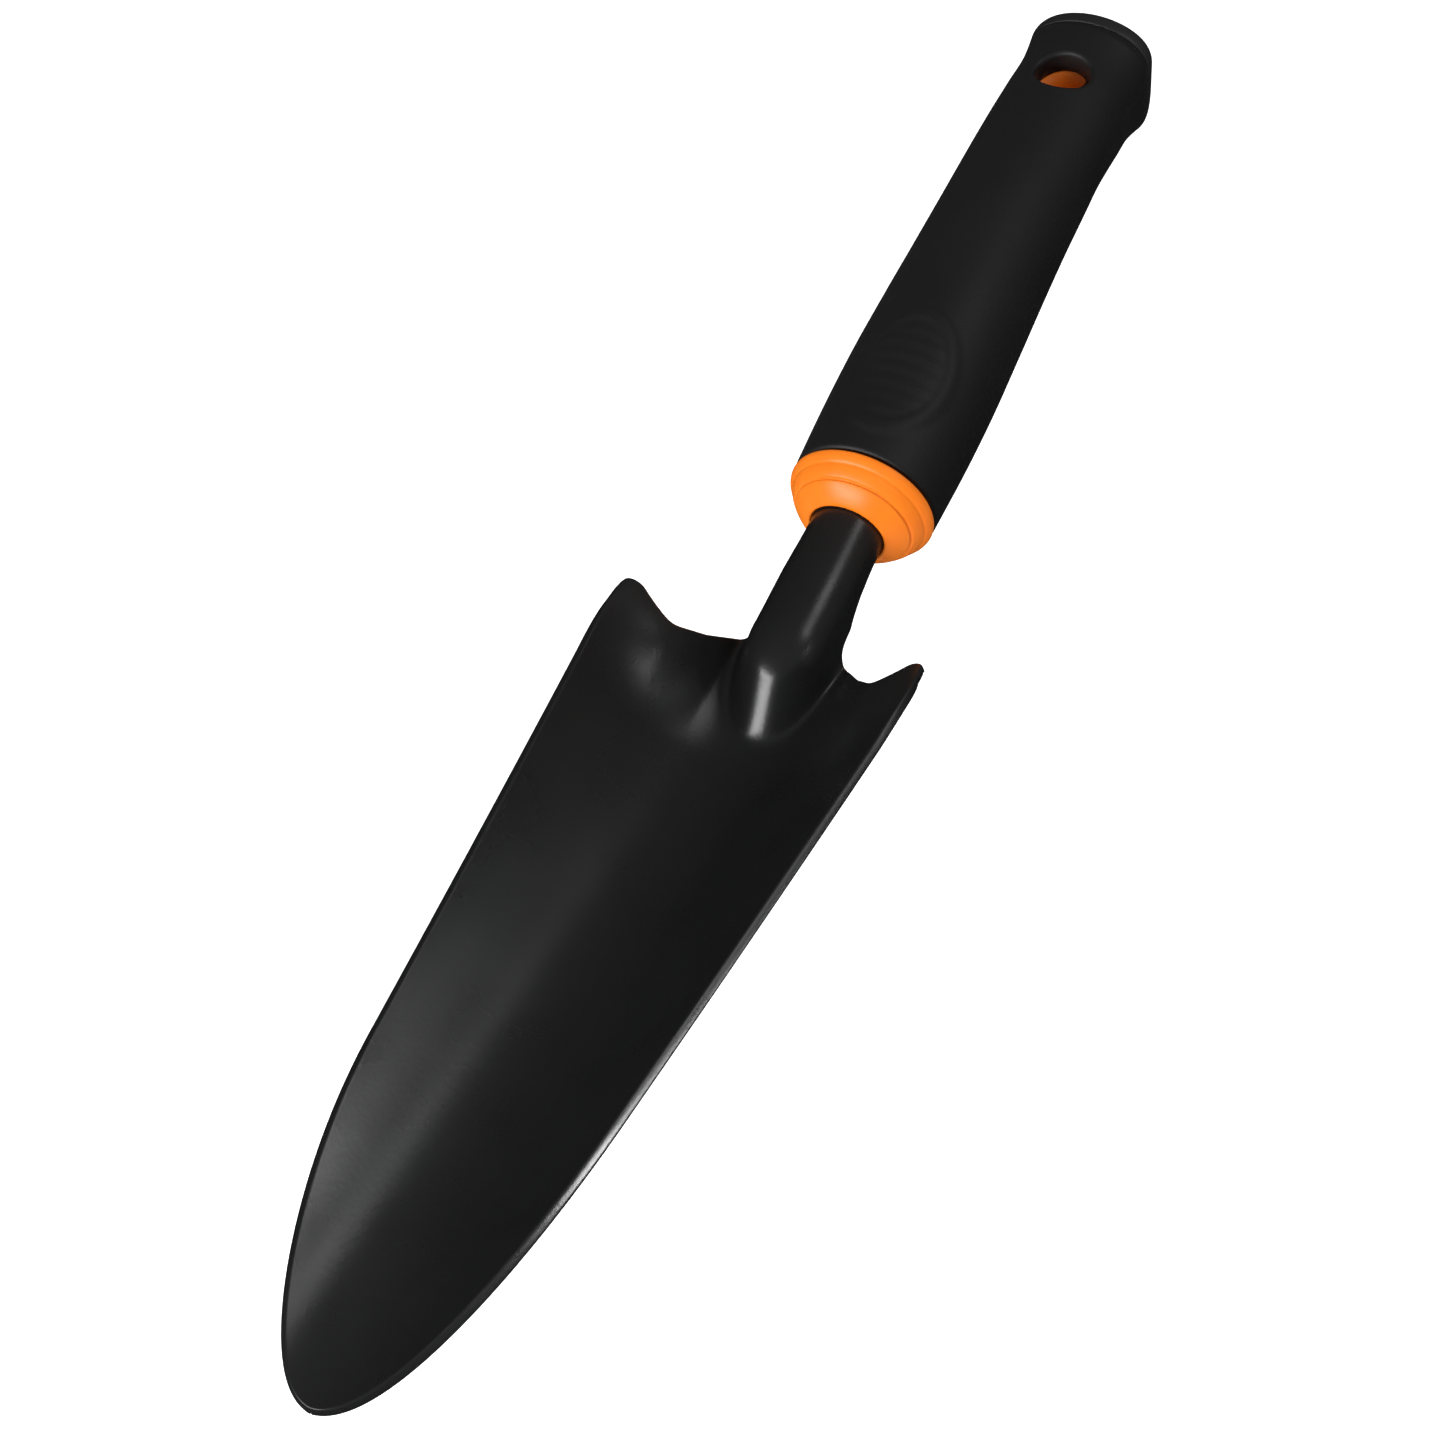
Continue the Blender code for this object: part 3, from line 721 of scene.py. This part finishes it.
def blade_rows():
    """All rows of the blade, from its top edge to near the tip."""
    stations = list(np.linspace(NECK_FRONT, NOSE_ZONE_END, NOSE_ROWS))
    stations += list(np.linspace(NOSE_ZONE_END, TIP_ZONE_START, FLOOR_ROWS))[1:]
    for step in range(1, TIP_ROWS):
        share = 1.0 - (1.0 - step / TIP_ROWS) ** 2
        stations.append(TIP_ZONE_START + (TIP_STATION - TIP_ZONE_START) * share)
    columns = ridge_columns() + wing_columns()
    rows = []
    for station in stations:
        fade = 1.0 - smooth_step((NECK_FRONT - station) / (NECK_FRONT - TIP_ZONE_START))
        rows.append(blade_row(float(station), fade, columns))
    return rows


def open_section(station):
    """Right half of the opened sheet beside the neck; its flange narrows rearwards."""
    away = station - NECK_FRONT
    edge_x = FLANGE_X + (NECK_X - FLANGE_X) * math.exp(-away / FLANGE_LENGTH)
    scale = edge_x / NECK_X * blade_half_width(NECK_FRONT) / OUTLINE_X
    return [(x * scale, station, blade_height(x * scale, station)) for x in ridge_columns()]


def section_lengths(points):
    """Length along a section from its first point to each of its points."""
    lengths = [0.0]
    for before, after in zip(points, points[1:]):
        lengths.append(lengths[-1] + math.hypot(after[0] - before[0], after[2] - before[2]))
    return lengths


def rolled_section(station, open_lengths):
    """Right half of the rolled sheet: a crown arc, then a side that curls to a seam."""
    swell = smooth_step(-station / NECK_SWELL_LENGTH)
    radius = TUBE_RADIUS + NECK_SWELL * swell
    sink = NECK_SINK * swell
    closing = smooth_step((station - FLANGE_END) / (NECK_REAR - FLANGE_END))
    curl = smooth_step((station - NECK_FRONT) / (CURL_END - NECK_FRONT)) / radius
    stretch = 1.0 + (SEAM_ANGLE * radius / open_lengths[-1] - 1.0) * closing
    points = []
    for open_length in open_lengths:
        length = open_length * stretch
        turn = min(length / radius, FLANK_ANGLE)
        side = length - radius * turn
        half_bend = 0.5 * curl * side
        chord = side * float(np.sinc(half_bend / math.pi))
        x = radius * math.sin(turn) + chord * math.cos(turn + half_bend)
        z = radius * math.cos(turn) - sink - chord * math.sin(turn + half_bend)
        points.append((x, station, z))
    return points


def neck_rows():
    """Rows of the tang and the neck, from the tang's end to the blade."""
    open_lengths = section_lengths(open_section(FLANGE_END))
    stations = list(np.linspace(TANG_END, 0.0, TANG_STEPS))
    stations += list(np.linspace(0.0, NECK_REAR, TUBE_STEPS)[1:-1])
    rows = [rolled_section(float(station), open_lengths) for station in stations]
    for step in range(NECK_STEPS):
        away = (1.0 - step / NECK_STEPS) ** NECK_CROWDING
        station = NECK_FRONT + (NECK_REAR - NECK_FRONT) * away
        rolled = smooth_step((station - NECK_FRONT) / (FLANGE_END - NECK_FRONT))
        row = []
        for closed, opened in zip(rolled_section(station, open_lengths), open_section(station)):
            x = opened[0] + (closed[0] - opened[0]) * rolled
            z = opened[2] + (closed[2] - opened[2]) * rolled
            row.append((x, station, z))
        rows.append(row)
    return rows


def vertex_normals(points, faces):
    """Unit normals of a mesh's points, from the faces around each."""
    normals = np.zeros_like(points)
    for face in faces:
        corner = points[list(face)]
        if len(face) == 4:
            normal = np.cross(corner[2] - corner[0], corner[3] - corner[1])
        else:
            normal = np.cross(corner[1] - corner[0], corner[2] - corner[0])
        for index in face:
            normals[index] += normal
    lengths = np.linalg.norm(normals, axis=1, keepdims=True)
    return normals / np.maximum(lengths, SMALLEST_LENGTH)


def outline_loop(faces):
    """Indices around the open edge of a sheet, in order."""
    directed = set()
    for face in faces:
        directed.update(zip(face, face[1:] + face[:1]))
    following = {start: end for start, end in directed if (end, start) not in directed}
    first = next(iter(following))
    loop = [first]
    while following[loop[-1]] != first:
        loop.append(following[loop[-1]])
    return loop


def sheet_grid():
    """Points and faces of the sheet's hollow side; the last point is the tip."""
    rows = []
    for row in neck_rows() + blade_rows():
        left = [(-x, station, z) for x, station, z in reversed(row[1:])]
        rows.append(left + row)
    points = []
    starts = []
    for row in rows:
        starts.append(len(points))
        points += row
    faces = []
    for index in range(len(rows) - 1):
        count = min(len(rows[index]), len(rows[index + 1]))
        here = starts[index] + (len(rows[index]) - count) // 2
        there = starts[index + 1] + (len(rows[index + 1]) - count) // 2
        for step in range(count - 1):
            faces.append((here + step, there + step, there + step + 1, here + step + 1))
    tip = len(points)
    points.append((0.0, TIP_STATION, TIP_Z))
    last = starts[-1]
    for step in range(len(rows[-1]) - 1):
        faces.append((last + step, tip, last + step + 1))
    return points, faces


def rim_rings(top, normals, loop):
    """Rings of the rounded rim, from the sheet's hollow side to its other side."""
    around = top[loop]
    along = np.roll(around, -1, axis=0) - np.roll(around, 1, axis=0)
    outward = np.cross(along, normals[loop])
    outward /= np.maximum(np.linalg.norm(outward, axis=1, keepdims=True), SMALLEST_LENGTH)
    half = SHEET * 0.5
    middle = around - normals[loop] * SHEET * 0.5
    rings = []
    for step in range(1, RIM_STEPS):
        turn = math.pi * step / RIM_STEPS
        up = math.copysign(abs(math.cos(turn)) ** RIM_POWER, math.cos(turn)) * half
        out = RIM_ROUND * abs(math.sin(turn)) ** RIM_POWER
        rings.append(middle + normals[loop] * up + outward * out)
    return rings


def build_blade(material):
    """The pressed sheet with rounded rims: tang, neck, ridge and blade in one."""
    points, faces = sheet_grid()
    top = np.array(points, dtype=float)
    normals = vertex_normals(top, faces)
    if normals[-1][2] < 0.0:
        faces = [tuple(reversed(face)) for face in faces]
        normals = -normals
    loop = outline_loop(faces)
    count = len(points)
    bottom = top - normals * SHEET
    surface = Surface()
    surface.points = [tuple(p) for p in top] + [tuple(p) for p in bottom]
    surface.faces = list(faces)
    surface.faces += [tuple(index + count for index in reversed(face)) for face in faces]
    previous = loop
    for ring in rim_rings(top, normals, loop):
        row = surface.add_ring([tuple(p) for p in ring])
        surface.join(previous, row)
        previous = row
    surface.join(previous, [index + count for index in loop])
    make_piece("blade_sheet", surface, material, "blade")


# Materials -------------------------------------------------------------------

# Linear colours, each from its darkest to its lightest.
COAT_DARK = (0.008, 0.0082, 0.0082, 1.0)
COAT_LIGHT = (0.0115, 0.0118, 0.0118, 1.0)
COAT_WORN = (0.024, 0.024, 0.0245, 1.0)
ORANGE_DARK = (0.98, 0.20, 0.008, 1.0)
ORANGE_LIGHT = (1.0, 0.25, 0.012, 1.0)
RUBBER_DARK = (0.005, 0.0052, 0.0053, 1.0)
RUBBER_LIGHT = (0.008, 0.008, 0.008, 1.0)
CAP_DARK = (0.014, 0.014, 0.0145, 1.0)
CAP_LIGHT = (0.021, 0.021, 0.021, 1.0)
STEEL_DARK = (0.50, 0.50, 0.51, 1.0)
STEEL_LIGHT = (0.62, 0.62, 0.63, 1.0)

# Shine of the orange moulding and how deep light goes into it, in metres per colour.
ORANGE_SHINE = 0.35
ORANGE_TRANSLUCENCY = 0.08
ORANGE_DEPTHS = (0.0015, 0.0006, 0.0002)
RUBBER_SHEEN = 0.01
RUBBER_SHEEN_ROUGHNESS = 0.5


def new_material(name):
    """An empty node material, its shader and its node tree."""
    material = bpy.data.materials.new(name)
    material.use_nodes = True
    tree = material.node_tree
    return material, tree, tree.nodes["Principled BSDF"]


def noise(tree, coordinates, scale, detail, rough=0.5):
    """A noise texture in object space, scale in features per metre."""
    node = tree.nodes.new("ShaderNodeTexNoise")
    node.inputs["Scale"].default_value = scale
    node.inputs["Detail"].default_value = detail
    node.inputs["Roughness"].default_value = rough
    tree.links.new(coordinates, node.inputs["Vector"])
    return node.outputs["Fac"]


def object_space(tree):
    """The object's own coordinates, in metres."""
    return tree.nodes.new("ShaderNodeTexCoord").outputs["Object"]


def remap(tree, value, low, high, start=0.0, end=1.0):
    """Map a value from start..end to low..high."""
    node = tree.nodes.new("ShaderNodeMapRange")
    node.inputs["From Min"].default_value = start
    node.inputs["From Max"].default_value = end
    node.inputs["To Min"].default_value = low
    node.inputs["To Max"].default_value = high
    tree.links.new(value, node.inputs["Value"])
    return node.outputs["Result"]


def multiply(tree, first, second):
    """Product of two values."""
    node = tree.nodes.new("ShaderNodeMath")
    node.operation = "MULTIPLY"
    tree.links.new(first, node.inputs[0])
    tree.links.new(second, node.inputs[1])
    return node.outputs["Value"]


def blend_colours(tree, factor, first, second):
    """Mix two colours by a factor."""
    node = tree.nodes.new("ShaderNodeMix")
    node.data_type = "RGBA"
    tree.links.new(factor, node.inputs["Factor"])
    for colour, socket in ((first, "A"), (second, "B")):
        slot = [s for s in node.inputs if s.name == socket and s.type == "RGBA"][0]
        if isinstance(colour, tuple):
            slot.default_value = colour
        else:
            tree.links.new(colour, slot)
    return [s for s in node.outputs if s.type == "RGBA"][0]


def bump(tree, shader, height, strength, distance, previous=None):
    """Bump from a height, in metres, onto the shader or onto another bump."""
    node = tree.nodes.new("ShaderNodeBump")
    node.inputs["Strength"].default_value = strength
    node.inputs["Distance"].default_value = distance
    tree.links.new(height, node.inputs["Height"])
    if previous is not None:
        tree.links.new(previous, node.inputs["Normal"])
    tree.links.new(node.outputs["Normal"], shader.inputs["Normal"])
    return node.outputs["Normal"]


def coat_material():
    """Black baked coat on steel: orange peel, faint cloudiness, lighter worn rims."""
    material, tree, shader = new_material("black_coat_fine")
    place = object_space(tree)
    clouds = noise(tree, place, scale=60.0, detail=3.0)
    specks = noise(tree, place, scale=2600.0, detail=2.0)
    colour = blend_colours(tree, clouds, COAT_DARK, COAT_LIGHT)
    geometry = tree.nodes.new("ShaderNodeNewGeometry")
    worn = remap(tree, geometry.outputs["Pointiness"], low=0.0, high=1.0, start=0.56, end=0.70)
    ragged = noise(tree, place, scale=900.0, detail=4.0)
    patches = remap(tree, ragged, low=0.0, high=0.5, start=0.45, end=0.75)
    wear = multiply(tree, worn, patches)
    colour = blend_colours(tree, wear, colour, COAT_WORN)
    tree.links.new(colour, shader.inputs["Base Color"])
    roughness = remap(tree, clouds, low=0.26, high=0.31, start=0.3, end=0.7)
    tree.links.new(roughness, shader.inputs["Roughness"])
    peel = noise(tree, place, scale=1100.0, detail=2.0)
    rough = bump(tree, shader, peel, strength=0.10, distance=0.0002)
    bump(tree, shader, specks, strength=0.05, distance=0.0001, previous=rough)
    return material


def orange_material():
    """Satin orange moulding, slightly translucent, with a faint flow pattern."""
    material, tree, shader = new_material("orange_plastic_fine")
    place = object_space(tree)
    flow = noise(tree, place, scale=140.0, detail=3.0)
    colour = blend_colours(tree, flow, ORANGE_DARK, ORANGE_LIGHT)
    tree.links.new(colour, shader.inputs["Base Color"])
    tree.links.new(remap(tree, flow, low=0.32, high=0.42), shader.inputs["Roughness"])
    shader.inputs["Specular IOR Level"].default_value = ORANGE_SHINE
    shader.inputs["Subsurface Weight"].default_value = ORANGE_TRANSLUCENCY
    shader.inputs["Subsurface Radius"].default_value = ORANGE_DEPTHS
    grain = noise(tree, place, scale=1500.0, detail=2.0)
    bump(tree, shader, grain, strength=0.08, distance=0.0001)
    return material


def rubber_material():
    """Matte soft sleeve: fine moulded grain, faint dust and a soft sheen."""
    material, tree, shader = new_material("soft_rubber_fine")
    place = object_space(tree)
    clouds = noise(tree, place, scale=45.0, detail=4.0)
    grain = noise(tree, place, scale=2200.0, detail=3.0, rough=0.6)
    colour = blend_colours(tree, clouds, RUBBER_DARK, RUBBER_LIGHT)
    tree.links.new(colour, shader.inputs["Base Color"])
    roughness = remap(tree, clouds, low=0.50, high=0.60, start=0.3, end=0.7)
    tree.links.new(roughness, shader.inputs["Roughness"])
    shader.inputs["Sheen Weight"].default_value = RUBBER_SHEEN
    shader.inputs["Sheen Roughness"].default_value = RUBBER_SHEEN_ROUGHNESS
    rough = bump(tree, shader, grain, strength=0.35, distance=0.00012)
    waves = noise(tree, place, scale=600.0, detail=2.0)
    bump(tree, shader, waves, strength=0.12, distance=0.0002, previous=rough)
    return material


def cap_material():
    """Satin black moulding with a fine texture."""
    material, tree, shader = new_material("black_plastic_fine")
    place = object_space(tree)
    clouds = noise(tree, place, scale=80.0, detail=3.0)
    colour = blend_colours(tree, clouds, CAP_DARK, CAP_LIGHT)
    tree.links.new(colour, shader.inputs["Base Color"])
    roughness = remap(tree, clouds, low=0.40, high=0.50, start=0.3, end=0.7)
    tree.links.new(roughness, shader.inputs["Roughness"])
    grain = noise(tree, place, scale=1800.0, detail=3.0)
    bump(tree, shader, grain, strength=0.2, distance=0.0001)
    return material


def steel_material():
    """Bright ground steel with fine turning marks."""
    material, tree, shader = new_material("bare_steel_fine")
    place = object_space(tree)
    marks = noise(tree, place, scale=3000.0, detail=2.0)
    colour = blend_colours(tree, marks, STEEL_DARK, STEEL_LIGHT)
    tree.links.new(colour, shader.inputs["Base Color"])
    shader.inputs["Metallic"].default_value = 1.0
    tree.links.new(remap(tree, marks, low=0.22, high=0.38), shader.inputs["Roughness"])
    bump(tree, shader, marks, strength=0.1, distance=0.0001)
    return material


# Stage -----------------------------------------------------------------------

# Camera: tilted up from its place over the blade, turned to one side and rolled.
VIEW_TILT = math.radians(29.188)
VIEW_SIDE = math.radians(20.023)
VIEW_ROLL = math.radians(27.285)
VIEW_DISTANCE = 0.5625
VIEW_TARGET = Vector((-0.01151, (-37.69 + ZERO_Y) * MM, -0.01821))
LENS = 72.49
CLIP_START = 0.01
CLIP_END = 20.0

# Floor below the tool. It looks white to the camera and adds little light of its own.
FLOOR_DROP = 0.25
FLOOR_SIZE = 3.0
FLOOR_COLOUR = (0.93, 0.93, 0.93, 1.0)
FLOOR_ROUGHNESS = 0.9
FLOOR_SEEN = 0.95
FLOOR_GLOW = 0.05

# Studio lights: place, point aimed at, size, power in watts, spread in degrees,
# and whether it shows in reflections.
MIDDLE = (0.0, -0.20, 0.0)
LIGHTS = (
    ("front_left", (-0.24, -0.855, 0.39), MIDDLE, (0.70, 0.13), 6.0, 180.0, True),
    ("front", (-0.08, -0.888, 0.405), MIDDLE, (0.3, 0.3), 0.8, 180.0, False),
    ("right", (0.542, -0.277, 0.58), MIDDLE, (0.4, 0.4), 1.4, 180.0, False),
    ("right_rear", (0.52, 0.274, 0.59), MIDDLE, (0.25, 0.25), 0.6, 180.0, True),
    ("blade_glow", (0.38, -0.13, 0.185), (-0.02, -0.31, 0.02), (0.10, 0.10), 0.032, 24.0, True),
)

# Even surround: its light, its look behind the tool, and its level in reflections, which
# grows from the left side to the middle and fades below the tool.
WORLD_LEVEL = 0.31
BACKDROP_LEVEL = 0.95
WORLD_DARK_SIDE = 0.02
WORLD_LIGHT_SIDE = 0.13
WORLD_BELOW = 0.1
BELOW_START = -0.4
BELOW_END = 0.1


def view_axes():
    """Right, up and back directions of the camera."""
    back = Vector(
        (
            math.sin(VIEW_SIDE) * math.cos(VIEW_TILT),
            -math.sin(VIEW_TILT),
            math.cos(VIEW_SIDE) * math.cos(VIEW_TILT),
        )
    )
    along = Vector((0.0, 1.0, 0.0))
    up = (along - back * along.dot(back)).normalized()
    right = up.cross(back)
    turned_right = right * math.cos(VIEW_ROLL) + up * math.sin(VIEW_ROLL)
    turned_up = up * math.cos(VIEW_ROLL) - right * math.sin(VIEW_ROLL)
    return turned_right, turned_up, back


def make_camera():
    """Camera above the blade's hollow side, looking along it from its tip."""
    right, up, back = view_axes()
    data = bpy.data.cameras.new("camera")
    data.lens = LENS
    data.clip_start = CLIP_START
    data.clip_end = CLIP_END
    camera = bpy.data.objects.new("camera", data)
    bpy.context.scene.collection.objects.link(camera)
    turn = Matrix((right, up, back)).transposed()
    place = Matrix.Translation(VIEW_TARGET + back * VIEW_DISTANCE)
    camera.matrix_world = place @ turn.to_4x4()
    bpy.context.scene.camera = camera


def make_floor():
    """Plain pale floor below the tool."""
    low = cad_box[0].z - FLOOR_DROP
    corners = [(-FLOOR_SIZE, -FLOOR_SIZE, low), (FLOOR_SIZE, -FLOOR_SIZE, low)]
    corners += [(FLOOR_SIZE, FLOOR_SIZE, low), (-FLOOR_SIZE, FLOOR_SIZE, low)]
    mesh = bpy.data.meshes.new("floor")
    mesh.from_pydata(corners, [], [(0, 1, 2, 3)])
    floor = bpy.data.objects.new("floor", mesh)
    bpy.context.scene.collection.objects.link(floor)
    material, tree, shader = new_material("floor_white")
    shader.inputs["Base Color"].default_value = FLOOR_COLOUR
    shader.inputs["Roughness"].default_value = FLOOR_ROUGHNESS
    shader.inputs["Emission Color"].default_value = (1.0, 1.0, 1.0, 1.0)
    path = tree.nodes.new("ShaderNodeLightPath")
    glow = remap(tree, path.outputs["Is Camera Ray"], FLOOR_GLOW, FLOOR_SEEN)
    tree.links.new(glow, shader.inputs["Emission Strength"])
    mesh.materials.append(material)
    floor.visible_glossy = False


def make_light(name, location, aim, size, power, spread, mirrored):
    """A rectangular soft light at a place, aimed at a point."""
    data = bpy.data.lights.new(name, "AREA")
    data.shape = "RECTANGLE"
    data.size = size[0]
    data.size_y = size[1]
    data.energy = power
    data.spread = math.radians(spread)
    light = bpy.data.objects.new(name, data)
    bpy.context.scene.collection.objects.link(light)
    light.location = location
    light.visible_glossy = mirrored
    light.rotation_mode = "QUATERNION"
    light.rotation_quaternion = (Vector(location) - Vector(aim)).to_track_quat("Z", "Y")


def make_surround():
    """World light, with levels of its own for the camera and for reflections."""
    world = bpy.data.worlds.new("studio")
    bpy.context.scene.world = world
    world.use_nodes = True
    tree = world.node_tree
    background = tree.nodes["Background"]
    background.inputs["Color"].default_value = (1.0, 1.0, 1.0, 1.0)
    path = tree.nodes.new("ShaderNodeLightPath")
    sides = tree.nodes.new("ShaderNodeSeparateXYZ")
    place = tree.nodes.new("ShaderNodeTexCoord")
    tree.links.new(place.outputs["Generated"], sides.inputs["Vector"])
    across = remap(tree, sides.outputs["X"], WORLD_DARK_SIDE, WORLD_LIGHT_SIDE, -1.0, 0.0)
    below = remap(tree, sides.outputs["Z"], WORLD_BELOW, 1.0, BELOW_START, BELOW_END)
    level = remap(tree, path.outputs["Is Glossy Ray"], WORLD_LEVEL, WORLD_LIGHT_SIDE)
    tree.links.new(multiply(tree, across, below), level.node.inputs["To Max"])
    seen = remap(tree, path.outputs["Is Camera Ray"], WORLD_LEVEL, BACKDROP_LEVEL)
    tree.links.new(level, seen.node.inputs["To Min"])
    tree.links.new(seen, background.inputs["Strength"])


build_blade(coat_material())
build_core(orange_material())
build_sleeve(rubber_material())
build_cap(cap_material())
pin_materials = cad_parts["tang_pin"].data.materials
pin_materials.clear()
pin_materials.append(steel_material())
make_floor()
for studio_light in LIGHTS:
    make_light(*studio_light)
make_surround()
bpy.context.scene.view_settings.view_transform = "Standard"
make_camera()
